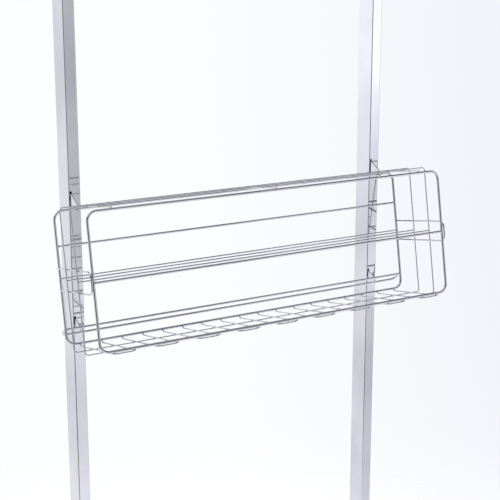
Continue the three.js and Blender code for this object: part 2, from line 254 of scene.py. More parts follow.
# Black rubber with a bloom of floor dust that is thickest low down.
def makeRubber():
    look = rubberLook
    f = newMaterial("black rubber")
    here = f.place()
    height = f.parts(here)[2]
    low = 1 - height.eased(0.0, look["dustHeight"])
    cloud = f.noise(here, look["dustScale"], 4.0, 0.65).eased(0.42, 0.72)
    dust = (cloud * (0.25 + low * 0.6)).least(1.0)
    colour = f.blendColour(dust, look["base"], look["dust"])
    pores = f.noise(here, look["poreScale"], 3.0, 0.65)
    normal = f.bump(pores, 0.5, look["relief"])
    return f.surface(Base_Color=colour, Roughness=look["roughness"] + dust * 0.2, Normal=normal)


postBox = {side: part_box(side + "_post") for side in ("left", "right")}
footBox = {side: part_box(side + "_foot_tube") for side in ("left", "right")}
postMiddle = {side: (low + high) / 2 for side, (low, high) in postBox.items()}
postHalf = (postBox["left"][1] - postBox["left"][0]) / 2
footMiddle = {side: (low + high) / 2 for side, (low, high) in footBox.items()}
footHalf = (footBox["left"][1] - footBox["left"][0]) / 2
postEdges = cornerRub(list(postMiddle.values()), postHalf, 1)
footEdges = cornerRub(list(footMiddle.values()), footHalf, 2)
chromePost = makeChrome("chrome tube upright", (1.0, 1.0, 0.03), chromeLook["ripple"], postEdges)
chromeFoot = makeChrome("chrome tube lying", (1.0, 0.03, 1.0), chromeLook["ripple"], footEdges)
chromeBar = makeChrome("chrome flat bar", (0.03, 1.0, 1.0), chromeLook["ripple"])
chromeWire = makeChrome("chrome wire", (0.05, 0.3, 0.3), chromeLook["ripple"] * chromeLook["wireRipple"])
zinc = makeZinc()
plastic = makePlastic()
rubber = makeRubber()
print("materials made")


# ---- mesh making. A solid is a pair: its points and its faces.

def ringOf(centre, first, second, sides, turn=0.0):
    points = []
    for i in range(sides):
        angle = 2 * math.pi * i / sides + turn
        points.append(centre + first * math.cos(angle) + second * math.sin(angle))
    return points


def loft(rings, closed=False):
    sides = len(rings[0])
    points = [point for ring in rings for point in ring]
    faces = []
    steps = len(rings) if closed else len(rings) - 1
    for i in range(steps):
        here = i * sides
        there = (i + 1) % len(rings) * sides
        for j in range(sides):
            k = (j + 1) % sides
            faces.append((here + j, here + k, there + k, there + j))
    if not closed:
        faces.append(tuple(reversed(range(sides))))
        faces.append(tuple(range(len(points) - sides, len(points))))
    return points, faces


def merge(*solids):
    points, faces = [], []
    for somePoints, someFaces in solids:
        start = len(points)
        points.extend(somePoints)
        faces.extend(tuple(start + i for i in face) for face in someFaces)
    return points, faces


def moved(solid, matrix):
    return [matrix @ point for point in solid[0]], solid[1]


# A tube of wire along a run of points, with its ends slightly chamfered.
def sweep(path, radius, sides=16, closed=False):
    count = len(path)
    tangents = []
    for i in range(count):
        before = path[i - 1] if closed or i else path[i]
        after = path[(i + 1) % count] if closed or i < count - 1 else path[i]
        tangents.append((after - before).normalized())
    across = tangents[0].orthogonal().normalized()
    rings = []
    for point, tangent in zip(path, tangents):
        across = (across - tangent * across.dot(tangent)).normalized()
        rings.append(ringOf(point, across * radius, tangent.cross(across) * radius, sides))
    if closed:
        return loft(rings, True)
    chamfer = 0.3
    for end, inward in ((0, 1), (-1, -1)):
        tangent = tangents[end] * inward
        small = [path[end] + (point - path[end]) * (1 - chamfer) for point in rings[end]]
        full = [point + tangent * radius * chamfer for point in rings[end]]
        rings[end] = full
        rings.insert(0 if end == 0 else len(rings), small)
    return loft(rings)


# Rounds each inner corner of a run of points.
def bent(corners, radius, steps=8, closed=False):
    corners = [Vector(corner) for corner in corners]
    count = len(corners)
    path = []
    for i, corner in enumerate(corners):
        if not closed and i in (0, count - 1):
            path.append(corner)
            continue
        before = (corner - corners[i - 1]).normalized()
        after = (corners[(i + 1) % count] - corner).normalized()
        angle = before.angle(after)
        start = corner - before * radius * math.tan(angle / 2)
        inward = (after - before * math.cos(angle)).normalized()
        for step in range(steps + 1):
            turn = angle * step / steps
            path.append(start + before * radius * math.sin(turn) + inward * radius * (1 - math.cos(turn)))
    return path


# A profile of radius and height, turned about Z.
def turned(profile, sides=32):
    rings = [ringOf(Vector((0, 0, z)), Vector((radius, 0, 0)), Vector((0, radius, 0)), sides)
             for radius, z in profile]
    return loft(rings)


# The outline of a rectangle with rounded corners, in the XY plane.
def roundedOutline(halfX, halfY, radius, z, steps=6):
    points = []
    radius = max(radius, 1e-5)
    for signX, signY, start in ((1, 1, 0), (-1, 1, 90), (-1, -1, 180), (1, -1, 270)):
        for step in range(steps + 1):
            angle = math.radians(start + 90 * step / steps)
            x = signX * (halfX - radius) + radius * math.cos(angle)
            y = signY * (halfY - radius) + radius * math.sin(angle)
            points.append(Vector((x, y, z)))
    return points


# A stack of rounded rectangles: each layer is an inset and a height.
def layered(halfX, halfY, corner, layers, steps=6):
    return loft([roundedOutline(halfX - inset, halfY - inset, corner - inset * 0.8, z, steps)
                 for inset, z in layers])


# Makes an object of a solid. It rides on a body, and stands for the CAD nodes in the list.
def addPiece(name, solid, material, body, stands=(), sharp=35, even=False):
    mesh = bpy.data.meshes.new(name)
    mesh.from_pydata([tuple(point) for point in solid[0]], [], solid[1])
    work = bmesh.new()
    work.from_mesh(mesh)
    bmesh.ops.recalc_face_normals(work, faces=work.faces)
    work.to_mesh(mesh)
    work.free()
    mesh.materials.append(material)
    piece = bpy.data.objects.new(name, mesh)
    scene.collection.objects.link(piece)
    smooth(piece, sharp, even)
    if body is not None:
        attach(piece, body)
        if stands:
            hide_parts(*stands)
    return piece


# Smooth shading with sharp edges over an angle in degrees, evened out over flat faces if asked.
def smooth(piece, sharp, even):
    mesh = piece.data
    mesh.polygons.foreach_set("use_smooth", [True] * len(mesh.polygons))
    mesh.set_sharp_from_angle(angle=math.radians(sharp))
    if even:
        keep = piece.modifiers.new("evenShading", "WEIGHTED_NORMAL")
        keep.keep_sharp = True
        keep.weight = 100


# Cuts solids out of a piece for good.
def cutAway(piece, cutters, sharp=35):
    tools = []
    piece.modifiers.clear()
    for i, solid in enumerate(cutters):
        tool = addPiece(piece.name + "Cutter%d" % i, solid, piece.data.materials[0], None)
        cut = piece.modifiers.new("cut", "BOOLEAN")
        cut.operation = "DIFFERENCE"
        cut.solver = "EXACT"
        cut.object = tool
        tools.append(tool)
    bpy.context.view_layer.update()
    done = piece.evaluated_get(bpy.context.evaluated_depsgraph_get())
    mesh = bpy.data.meshes.new_from_object(done)
    mesh.name = piece.name
    piece.modifiers.clear()
    piece.data = mesh
    for tool in tools:
        bpy.data.objects.remove(tool)
    smooth(piece, sharp, True)


# ---- basket frame of reference

frontLow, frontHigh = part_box("front_frame")
rearLow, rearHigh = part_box("rear_frame")
frontMiddle = (frontLow + frontHigh) / 2
rearMiddle = (rearLow + rearHigh) / 2
tilt = math.atan2(frontMiddle.z - rearMiddle.z, rearMiddle.y - frontMiddle.y)
toRack = Matrix.Translation((frontMiddle + rearMiddle) / 2) @ Matrix.Rotation(-tilt, 4, "X")
toBasket = toRack.inverted()


# A node's lowest and highest corner in the tilted basket's own frame.
def basketBox(node):
    points = [toBasket @ vertex.co for vertex in nodes[node].data.vertices]
    low = Vector([min(point[i] for point in points) for i in range(3)])
    high = Vector([max(point[i] for point in points) for i in range(3)])
    return low, high


# A wire of the basket, given in the basket's frame, that stands for one CAD node.
def addBasketWire(name, solid, node):
    addPiece(name, moved(solid, toRack), chromeWire, "basket", [node])


# ---- frames and hoops

ringLook = {
    "frameBend": 0.014, "hoopBend": 0.005, "frameSides": 20, "hoopSides": 14,
    "bead": [(0.9, -1), (1.04, -0.55), (1.16, -0.2), (1.16, 0.2), (1.04, 0.55), (0.9, 1)],
}
wires = {}      # the centre lines' places, by node


# A closed ring of wire, with the bead of its butt weld in the middle of the bottom run.
def addRing(node, name, bendRadius, sides):
    low, high = basketBox(node)
    radius = (high.y - low.y) / 2
    y = (high.y + low.y) / 2
    halfX = high.x - radius
    halfZ = high.z - radius
    corners = [(-halfX, y, -halfZ), (halfX, y, -halfZ), (halfX, y, halfZ), (-halfX, y, halfZ)]
    ring = sweep(bent(corners, bendRadius, 10, True), radius, sides, True)
    bead = [(radius * wide, radius * along) for wide, along in ringLook["bead"]]
    seat = Matrix.Translation((0, y, -halfZ)) @ Matrix.Rotation(math.pi / 2, 4, "Y")
    addBasketWire(name, merge(ring, moved(turned(bead, sides), seat)), node)
    wires[node] = {"radius": radius, "y": y, "halfX": halfX, "halfZ": halfZ}


addRing("front_frame", "frontFrameWire", ringLook["frameBend"], ringLook["frameSides"])
addRing("rear_frame", "rearFrameWire", ringLook["frameBend"], ringLook["frameSides"])
addRing("front_hoop", "frontHoopWire", ringLook["hoopBend"], ringLook["hoopSides"])
addRing("rear_hoop", "rearHoopWire", ringLook["hoopBend"], ringLook["hoopSides"])
print("frames and hoops made")


# ---- welds

# Sizes are shares of the wires' radii. A cross weld's stations go from the middle of the first wire to its
# waist, each with its share of the way and of the lengths along and across. A collar's go out along the
# ending wire: distance in side and end radii, width, thickness, and the thickness limit in side radii.
weldLook = {
    "along": 1.5, "across": 0.94, "waist": 0.95, "waistSwell": 1.1, "sides": 14,
    "stations": [(0.0, 0.7, 0.7), (0.18, 1, 1), (0.36, 0.82, 0.92)],
    "collar": [(0.2, 0, 1.3, 1.2, 0.85), (0.8, 0, 1.45, 1.25, 2), (1.1, 0, 1.30, 1.22, 2),
               (1, 0.5, 1.12, 1.1, 2), (1, 0.95, 0.96, 0.96, 2)],
}
welds = {"Ring": [], "Floor": [], "Top": [], "Shelf": [], "EndLoop": [], "Hook": []}


# The fillet where one wire lies across another: long along each wire, with a waist between.
def crossWeld(group, first, firstRun, firstRadius, second, secondRun, secondRadius):
    firstRun, secondRun = Vector(firstRun), Vector(secondRun)
    waist = min(firstRadius, secondRadius) * weldLook["waist"] * weldLook["waistSwell"]
    along, across = weldLook["along"], weldLook["across"]
    sizes = [(share, firstRadius * along * a, firstRadius * across * b)
             for share, a, b in weldLook["stations"]]
    sizes.append((0.5, waist, waist))
    for share, a, b in reversed(weldLook["stations"]):
        sizes.append((1 - share, secondRadius * across * b, secondRadius * along * a))
    stack = [ringOf(first.lerp(second, share), firstRun * a, secondRun * b, weldLook["sides"])
             for share, a, b in sizes]
    welds[group].append(loft(stack))


# The collar where the end of one wire meets the side of another.
def buttWeld(group, side, sideRun, sideRadius, outward, endRadius):
    sideRun, outward = Vector(sideRun), Vector(outward)
    other = outward.cross(sideRun)
    stack = []
    for sideShare, endShare, wide, thick, limit in weldLook["collar"]:
        centre = side + outward * (sideRadius * sideShare + endRadius * endShare)
        thickness = min(endRadius * thick, sideRadius * limit)
        stack.append(ringOf(centre, sideRun * (endRadius * wide), other * thickness, weldLook["sides"]))
    welds[group].append(loft(stack))


# ---- floor wires

floorLook = {"bend": 0.008, "upturnBend": 0.004, "legReach": 0.02, "noseReach": 0.01, "sides": 12}
hoopRadius = wires["front_hoop"]["radius"]
frontRing, rearRing = wires["front_frame"], wires["rear_frame"]
frontHoop, rearHoop = wires["front_hoop"], wires["rear_hoop"]
floorNames = sorted(name for name in nodes if name.startswith("floor_wire_"))
for node in floorNames:
    low, high = basketBox(node)
    radius = hoopRadius
    leftX, rightX = low.x + radius, high.x - radius
    floorZ, frontY = low.z + radius, low.y + radius
    rearY, topZ = high.y - radius, high.z
    leg = [(0, rearY, topZ), (0, rearY, floorZ), (0, frontY + floorLook["legReach"], floorZ)]
    upturn = bent(leg, floorLook["upturnBend"], 6)[:-1]
    noseY = rearY - floorLook["noseReach"]
    nose = bent([(leftX, noseY, floorZ), (leftX, frontY, floorZ), (rightX, frontY, floorZ),
                 (rightX, noseY, floorZ)], floorLook["bend"], 8)[1:-1]
    leftLeg = [point + Vector((leftX, 0, 0)) for point in upturn]
    rightLeg = [point + Vector((rightX, 0, 0)) for point in reversed(upturn)]
    solid = sweep(leftLeg + nose + rightLeg, radius, floorLook["sides"])
    addBasketWire("floorWire" + node.rsplit("_", 1)[1], solid, node)
    for x in (leftX, rightX):
        for ring, end, run in ((frontRing, (frontRing["y"], floorZ), (0, 1, 0)),
                               (rearRing, (rearY, -rearRing["halfZ"]), (0, 0, 1)),
                               (frontHoop, (frontHoop["y"], floorZ), (0, 1, 0)),
                               (rearHoop, (rearHoop["y"], floorZ), (0, 1, 0))):
            crossWeld("Floor", Vector((x, ring["y"], -ring["halfZ"])), (1, 0, 0), ring["radius"],
                      Vector((x, *end)), run, radius)
print("floor wires made:", len(floorNames))


# ---- top cross wires

topLook = {"sides": 14}
for node in sorted(name for name in nodes if name.startswith("top_wire_")):
    low, high = basketBox(node)
    middle = (low + high) / 2
    radius = (high.x - low.x) / 2
    run = [Vector((middle.x, low.y, middle.z)), Vector((middle.x, high.y, middle.z))]
    addBasketWire("topWire" + node.rsplit("_", 1)[1], sweep(run, radius, topLook["sides"]), node)
    for ring in (frontRing, rearRing, frontHoop, rearHoop):
        crossWeld("Top", Vector((middle.x, ring["y"], ring["halfZ"])), (1, 0, 0), ring["radius"],
                  Vector((middle.x, ring["y"], middle.z)), (0, 1, 0), radius)
print("top cross wires made")


# ---- lengthwise wires of the shelf and the back

lengthLook = {"reachIn": 0.0006, "sides": 14}
lengthwise = {
    "shelf_wire_rear": ("shelfWireRear", rearRing),
    "shelf_wire_middle_rear": ("shelfWireMiddleRear", rearHoop),
    "shelf_wire_middle_front": ("shelfWireMiddleFront", frontHoop),
    "shelf_wire_front": ("shelfWireFront", frontRing),
    "upper_guard_wire": ("upperGuardWire", rearRing),
    "lower_guard_wire": ("lowerGuardWire", rearRing),
}
for node, (name, ring) in lengthwise.items():
    low, high = basketBox(node)
    middle = (low + high) / 2
    radius = (high.y - low.y) / 2
    reach = high.x + lengthLook["reachIn"]
    run = [Vector((-reach, middle.y, middle.z)), Vector((reach, middle.y, middle.z))]
    addBasketWire(name, sweep(run, radius, lengthLook["sides"]), node)
    for side in (-1, 1):
        buttWeld("Shelf", Vector((side * ring["halfX"], middle.y, middle.z)), (0, 0, 1), ring["radius"],
                 (-side, 0, 0), radius)
print("lengthwise wires made")


# ---- end loops

loopLook = {"bend": 0.010, "sides": 14}
for side, sign in (("left", -1), ("right", 1)):
    node = side + "_end_loop"
    low, high = basketBox(node)
    radius = (high.x - low.x) / 2
    x = (high.x + low.x) / 2
    halfZ = high.z - radius
    noseY = low.y + radius
    path = bent([(x, high.y, halfZ), (x, noseY, halfZ), (x, noseY, -halfZ), (x, high.y, -halfZ)],
                loopLook["bend"], 10)
    addBasketWire(side + "EndLoop", sweep(path, radius, loopLook["sides"]), node)
    for z in (-halfZ, halfZ):
        for ring in (rearRing, frontHoop, rearHoop):
            crossWeld("EndLoop", Vector((sign * ring["halfX"], ring["y"], z)), (0, 0, 1), ring["radius"],
                      Vector((x, ring["y"], z)), (0, 1, 0), radius)
print("end loops made")


# ---- stand-off bar

barLook = {"bend": 0.009, "reachIn": 0.0007, "sides": 18}
low, high = basketBox("stand_off_bar")
guardLow, guardHigh = basketBox("lower_guard_wire")
barHalfX = rearRing["halfX"]
barRadius = high.x - barHalfX
barStart = rearRing["y"] + rearRing["radius"] + barRadius - barLook["reachIn"]
barEndZ = (guardLow.z + guardHigh.z) / 2
barY, barZ = high.y - barRadius, low.z + barRadius
barPath = bent([(-barHalfX, barStart, barEndZ), (-barHalfX, barY, barZ), (barHalfX, barY, barZ),
                (barHalfX, barStart, barEndZ)], barLook["bend"], 10)
addBasketWire("standOffBar", sweep(barPath, barRadius, barLook["sides"]), "stand_off_bar")
for x in (-barHalfX, barHalfX):
    buttWeld("Ring", Vector((x, rearRing["y"], barEndZ)), (0, 0, 1), rearRing["radius"], (0, 1, 0),
             barRadius)
print("stand-off bar made")


# ---- hook plates

plateLook = {
    "edge": 0.0004, "nose": 0.006, "beadRadius": 0.0013, "beadReach": 0.0016,
    "bead": [(0.25, -1), (0.8, -0.7), (1, 0), (0.8, 0.7), (0.25, 1)],
}
for side in ("left", "right"):
    for level in ("upper", "lower"):
        node = "%s_%s_hook_plate" % (side, level)
        low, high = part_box(node)
        work = bmesh.new()
        work.from_mesh(nodes[node].data)
        bmesh.ops.remove_doubles(work, verts=work.verts, dist=1e-6)
        bmesh.ops.dissolve_limit(work, angle_limit=math.radians(1), verts=work.verts, edges=work.edges)
        bmesh.ops.bevel(work, geom=work.edges[:], offset=plateLook["edge"], segments=2, affect="EDGES",
                        profile=0.5)
        points = [vertex.co.copy() for vertex in work.verts]
        work.verts.index_update()
        faces = [tuple(vertex.index for vertex in face.verts) for face in work.faces]
        work.free()
        addPiece(side + level.capitalize() + "HookPlate", (points, faces), chromeWire, "basket",
                 [node], even=True)
        # The bead that holds the plate's nose to the rear frame's top run, or to the stand-off bar.
        reach = (high.x - low.x) / 2 + plateLook["beadReach"]
        bead = [(plateLook["beadRadius"] * wide, reach * along) for wide, along in plateLook["bead"]]
        wireY, wireZ = (rearRing["y"], rearRing["halfZ"]) if level == "upper" else (barY, barZ)
        height = (toRack @ Vector((0, wireY, wireZ))).z
        touchZ = min(max(height, low.z), low.z + plateLook["nose"])
        touch = Vector(((low.x + high.x) / 2, low.y, touchZ))
        seat = Matrix.Translation(toBasket @ touch) @ Matrix.Rotation(math.pi / 2, 4, "Y")
        welds["Hook"].append(moved(turned(bead, weldLook["sides"]), seat))
print("hook plates made")

for group, solids in welds.items():
    addPiece("basket" + group + "Welds", moved(merge(*solids), toRack), chromeWire, "basket")
print("welds made:", sum(len(solids) for solids in welds.values()))


# ---- posts

postLook = {"wall": 0.0015, "edge": 0.0013}
# A slot takes a hook's neck. Its low and high edges are given here over the plate's lowest point.
slotLook = {
    "width": 0.0032, "play": 0.0003, "lift": 0.007, "upper": (0.0105, 0.016), "lower": (0.0065, 0.0105),
    "punch": 0.004,
}


# A rectangular tube along Z, open at both ends.
def tubeSolid(halfX, halfY, wall, edge, length):
    innerEdge = edge * 0.4
    outer = [roundedOutline(halfX, halfY, edge, z) for z in (0, length)]
    inner = [roundedOutline(halfX - wall, halfY - wall, innerEdge, z) for z in (0, length)]
    return loft([outer[0], outer[1], inner[1], inner[0]], True)


for side in ("left", "right"):
    low, high = postBox[side]
    middle = postMiddle[side]
    solid = tubeSolid(postHalf.x, postHalf.y, postLook["wall"], postLook["edge"], high.z - low.z)
    seat = Matrix.Translation((middle.x, middle.y, low.z))
    piece = addPiece(side + "Post", moved(solid, seat), chromePost, "stand", [side + "_post"])
    slots = []
    for level in ("upper", "lower"):
        plateLow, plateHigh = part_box("%s_%s_hook_plate" % (side, level))
        neckLow, neckHigh = slotLook[level]
        bottom = plateLow.z + neckLow - slotLook["play"]
        top = plateLow.z + neckHigh + slotLook["lift"] + slotLook["play"]
        half, depth = slotLook["width"] / 2, slotLook["punch"]
        punch = layered(half, (top - bottom) / 2, half * 0.6, [(0, -depth), (0, depth)], 4)
        place = Matrix.Translation(((plateLow.x + plateHigh.x) / 2, low.y, (bottom + top) / 2))
        slots.append(moved(punch, place @ Matrix.Rotation(math.pi / 2, 4, "X")))
    cutAway(piece, slots)
print("posts made")


# ---- post caps

# A crown's layers are insets and shares of its height. A stem goes into the tube with a little play.
stemLook = {"play": 0.0003, "corner": 0.001, "lead": 0.0012, "leadLength": 0.002}
capLook = {
    "corner": 0.0016, "foot": [(0.0003, 0), (0, 0.0004)], "stemTop": 0.0005,
    "crown": [(0, 0.42), (0.00018, 0.45), (0.00018, 0.5), (0, 0.53), (0, 0.66), (0.0003, 0.82),
              (0.0010, 0.93), (0.0024, 0.985), (0.0050, 1)],
}


def stemSolid(halfX, halfY, wall, bottom, top):
    inset = wall + stemLook["play"]
    layers = [(stemLook["lead"], bottom), (0, bottom + stemLook["leadLength"]), (0, top)]
    return layered(halfX - inset, halfY - inset, stemLook["corner"], layers)


def crownSolid(halfX, halfY, look, tall):
    layers = look["foot"] + [(inset, tall * share) for inset, share in look["crown"]]
    return layered(halfX, halfY, look["corner"], layers)


for side in ("left", "right"):
    low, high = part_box(side + "_post_cap")
    bottom = postBox[side][1].z + stemLook["play"]
    crown = crownSolid(postHalf.x, postHalf.y, capLook, high.z - bottom)
    stem = stemSolid(postHalf.x, postHalf.y, postLook["wall"], low.z - bottom, capLook["stemTop"])
    seat = Matrix.Translation((postMiddle[side].x, postMiddle[side].y, bottom))
    addPiece(side + "PostCap", moved(merge(crown, stem), seat), plastic, "stand",
             [side + "_post_cap"], sharp=50)
print("post caps made")


# ---- feet

footLook = {"wall": 0.0015, "edge": 0.0013, "boltHole": 0.008, "studHole": 0.0048, "drill": (-0.003, 0.003)}
for side in ("left", "right"):
    low, high = footBox[side]
    middle = footMiddle[side]
    solid = tubeSolid(footHalf.x, footHalf.z, footLook["wall"], footLook["edge"], high.y - low.y)
    seat = Matrix.Translation((middle.x, high.y, middle.z)) @ Matrix.Rotation(math.pi / 2, 4, "X")
    piece = addPiece(side + "Foot", moved(solid, seat), chromeFoot, "stand",
                     [side + "_foot_tube"])
    holes = []
    boltLow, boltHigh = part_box(side + "_foot_bolt")
    places = [(footLook["boltHole"], (boltLow.y + boltHigh.y) / 2)]
    for end in ("front", "rear"):
        studLow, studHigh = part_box("%s_%s_levelling_stud" % (side, end))
        places.append((footLook["studHole"], (studLow.y + studHigh.y) / 2))
    for radius, y in places:
        drill = turned([(radius, z) for z in footLook["drill"]])
        holes.append(moved(drill, Matrix.Translation((middle.x, y, low.z))))
    cutAway(piece, holes)
print("feet made")


# ---- foot plugs

plugLook = {
    "corner": 0.0016, "foot": [(0.0003, 0.0003), (0, 0.0007)], "stem": 0.038, "stemTop": 0.0008,
    "crown": [(0, 0.55), (0.0004, 0.8), (0.0012, 0.94), (0.0032, 1)],
}
for side in ("left", "right"):
    for end, sign in (("front", -1), ("rear", 1)):
        node = "%s_%s_foot_plug" % (side, end)
        low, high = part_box(node)
        face, outer = (footBox[side][0].y, low.y) if sign < 0 else (footBox[side][1].y, high.y)
        crown = crownSolid(footHalf.x, footHalf.z, plugLook, abs(outer - face))
        stem = stemSolid(footHalf.x, footHalf.z, footLook["wall"], -plugLook["stem"], plugLook["stemTop"])
        seat = Matrix.Translation((footMiddle[side].x, face, footMiddle[side].z))
        seat = seat @ Matrix.Rotation(-sign * math.pi / 2, 4, "X")
        addPiece(side + end.capitalize() + "FootPlug", moved(merge(crown, stem), seat), plastic, "stand",
                 [node], sharp=50)
print("foot plugs made")


# ---- levelling feet

# The ball's rows are radius and height over the stud's low end. The collar's heights are over the pad.
studLook = {
    "radius": 0.004, "pitch": 0.00125, "depth": 0.00055, "sides": 24, "rows": 5, "fadeTop": 0.0015,
    "fadeBottom": 0.0008, "neck": 0.0038, "collarLow": 0.0006, "collarHigh": 0.0046, "collarTurn": 15,
    "ball": [(0.0052, 0), (0.006, 0.0006), (0.006, 0.0026), (0.0052, 0.0032), (0.0038, 0.0036)],
    "collarRadius": 0.00695, "collarEdge": 0.0061, "collarBevel": 0.0005, "neckOverlap": 0.0002,
    "rodOverlap": 0.0004,
}
# The rim's rows are set in from the pad's radius, and the crown's heights are down from its top.
padLook = {
    "ribs": 28, "sides": 112, "grip": 0.00025, "gripReach": 0.0007, "gripFrom": 0.001,
    "underside": [(0.0001, 0.0012), (0.0040, 0.0012), (0.0044, 0.0002), (0.0080, 0), (0.0084, 0.0010),
                  (0.0094, 0.0010), (0.0098, 0)],
    "rim": [(0.0010, 0), (0.0001, 0.0008), (0, 0.0016), (0, 0.0040), (0.0006, 0.0050)],
    "crown": [(0.0118, 0.0012), (0.0108, 0.0002), (0.0100, 0), (0.0072, 0), (0.0066, 0.0005)],
    "socket": [(0.0066, 0.0041), (0.0001, 0.0040)],
}


def hexOutline(radius, z):
    return ringOf(Vector((0, 0, z)), Vector((radius, 0, 0)), Vector((0, radius, 0)), 6,
                  math.radians(studLook["collarTurn"]))


# A rod whose thread fades out at both ends.
def threadedRod(radius, bottom, top):
    rows = int((top - bottom) / studLook["pitch"] * studLook["rows"])
    sides = studLook["sides"]
    stack = []
    for row in range(rows + 1):
        z = bottom + (top - bottom) * row / rows
        ring = []
        fade = min(1.0, (top - z) / studLook["fadeTop"], (z - bottom) / studLook["fadeBottom"])
        for i in range(sides):
            phase = (z / studLook["pitch"] - i / sides) % 1.0
            depth = studLook["depth"] * ((1 - abs(2 * phase - 1)) * fade + 0.4 * (1 - fade))
            angle = 2 * math.pi * i / sides
            ring.append(Vector(((radius - depth) * math.cos(angle), (radius - depth) * math.sin(angle), z)))
        stack.append(ring)
    return loft(stack)


# A round pad with a recessed underside, a ribbed rim and a socket for the stud's ball end.
def padSolid(outer, tall):
    profile = padLook["underside"] + [(outer - inset, z) for inset, z in padLook["rim"]]
    profile = profile + [(radius, tall - drop) for radius, drop in padLook["crown"]] + padLook["socket"]
    stack = []
    for radius, z in profile:
        ribbed = radius > outer - padLook["gripReach"] and z > padLook["gripFrom"]
        ring = []
        for i in range(padLook["sides"]):
            angle = 2 * math.pi * i / padLook["sides"]
            grip = padLook["grip"] * (1 + math.cos(angle * padLook["ribs"])) if ribbed else 0
            ring.append(Vector(((radius - grip) * math.cos(angle), (radius - grip) * math.sin(angle), z)))
        stack.append(ring)
    return loft(stack)


for side in ("left", "right"):
    for end in ("front", "rear"):
        corner = "%s_%s" % (side, end)
        low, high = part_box(corner + "_levelling_stud")
        middle = (low + high) / 2
        padLow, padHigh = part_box(corner + "_levelling_pad")
        seat = Matrix.Translation((middle.x, middle.y, 0))
        collarLow, collarHigh = padHigh.z + studLook["collarLow"], padHigh.z + studLook["collarHigh"]
        ball = [(radius, low.z + z) for radius, z in studLook["ball"]]
        head = turned(ball + [(studLook["neck"], collarLow + studLook["neckOverlap"])], studLook["sides"])
        wide, edge, bevel = studLook["collarRadius"], studLook["collarEdge"], studLook["collarBevel"]
        nut = loft([hexOutline(edge, collarLow), hexOutline(wide, collarLow + bevel),
                    hexOutline(wide, collarHigh - bevel), hexOutline(edge, collarHigh)])
        rod = threadedRod(studLook["radius"], collarHigh - studLook["rodOverlap"], high.z)
        name = side + end.capitalize()
        addPiece(name + "LevellingStud", moved(merge(head, nut, rod), seat), zinc, corner + "_stud",
                 [corner + "_levelling_stud"], sharp=40)
        pad = padSolid((padHigh.x - padLow.x) / 2, padHigh.z - padLow.z)
        addPiece(name + "LevellingPad", moved(pad, seat), rubber, corner + "_pad",
                 [corner + "_levelling_pad"], sharp=40)
print("levelling feet made")


# ---- cross bars and their screws

crossLook = {"corner": 0.004, "edge": 0.0006}
# The rim's rows are set in from the head's radius, in metres. The dome's are shares of radius and height.
screwLook = {
    "recess": 0.0052, "recessWidth": 0.0012, "recessDepth": 0.0015, "recessTaper": 0.55,
    "recessOver": 0.0006, "rim": [(0.0001, 0.0001), (0, 0.0005)],
    "dome": [(0.97, 0.45), (0.86, 0.74), (0.62, 0.93), (0.3, 1)], "domeSides": 36,
    "shankTip": (0.0024, 0.0002), "shankTop": (0.0025, 0.0003), "shankSides": 20,
}


# A domed screw along Z from the face it sits on, whose shank reaches down to the tip.
def screwSolid(head, tall, tip):
    dome = [(head - inset, z) for inset, z in screwLook["rim"]]
    dome = dome + [(head * wide, tall * share) for wide, share in screwLook["dome"]]
    tipRadius, tipGap = screwLook["shankTip"]
    shank = [(tipRadius, tip + tipGap), screwLook["shankTop"]]
    return merge(turned(dome, screwLook["domeSides"]), turned(shank, screwLook["shankSides"]))


# One blade of the cross recess. It narrows downwards.
def recessBlade(halfX, halfY, tall):
    stack = []
    for share, z in ((screwLook["recessTaper"], tall - screwLook["recessDepth"]),
                     (1.0, tall + screwLook["recessOver"])):
        stack.append([Vector((x * halfX * share, y * halfY * share, z))
                      for x, y in ((1, 1), (-1, 1), (-1, -1), (1, -1))])
    return loft(stack)


for level in ("lower", "upper"):
    node = level + "_cross_bar"
    low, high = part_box(node)
    middle, half = (low + high) / 2, (high - low) / 2
    edge = crossLook["edge"]
    shoulder = edge * 0.3
    layers = [(edge, -half.y), (shoulder, -half.y + shoulder), (0, -half.y + edge), (0, half.y - edge),
              (shoulder, half.y - shoulder), (edge, half.y)]
    solid = layered(half.x, half.z, crossLook["corner"], layers, 10)
    seat = Matrix.Translation(middle) @ Matrix.Rotation(math.pi / 2, 4, "X")
    addPiece(level + "CrossBar", moved(solid, seat), chromeBar, "stand", [node], sharp=60,
             even=True)
    for side in ("left", "right"):
        screwNode = "%s_%s_screw" % (node, side)
        screwLow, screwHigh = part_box(screwNode)
        tall = screwHigh.y - high.y
        seat = Matrix.Translation(((screwLow.x + screwHigh.x) / 2, high.y, middle.z))
        seat = seat @ Matrix.Rotation(-math.pi / 2, 4, "X")
        solid = screwSolid((screwHigh.x - screwLow.x) / 2, tall, screwLow.y - high.y)
        name = level + "CrossBar" + side.capitalize() + "Screw"
        piece = addPiece(name, moved(solid, seat), zinc, "stand", [screwNode], sharp=40)
        long, narrow = screwLook["recess"] / 2, screwLook["recessWidth"] / 2
        blades = [moved(recessBlade(halfX, halfY, tall), seat)
                  for halfX, halfY in ((long, narrow), (narrow, long))]
        cutAway(piece, blades, 40)
print("cross bars made")


# ---- hidden joint parts keep their CAD shape

for side in ("left", "right"):
    for node in (side + "_post_spigot", side + "_foot_bolt"):
        nodes[node].data.materials.clear()
        nodes[node].data.materials.append(zinc)


# ---- floor, light and camera

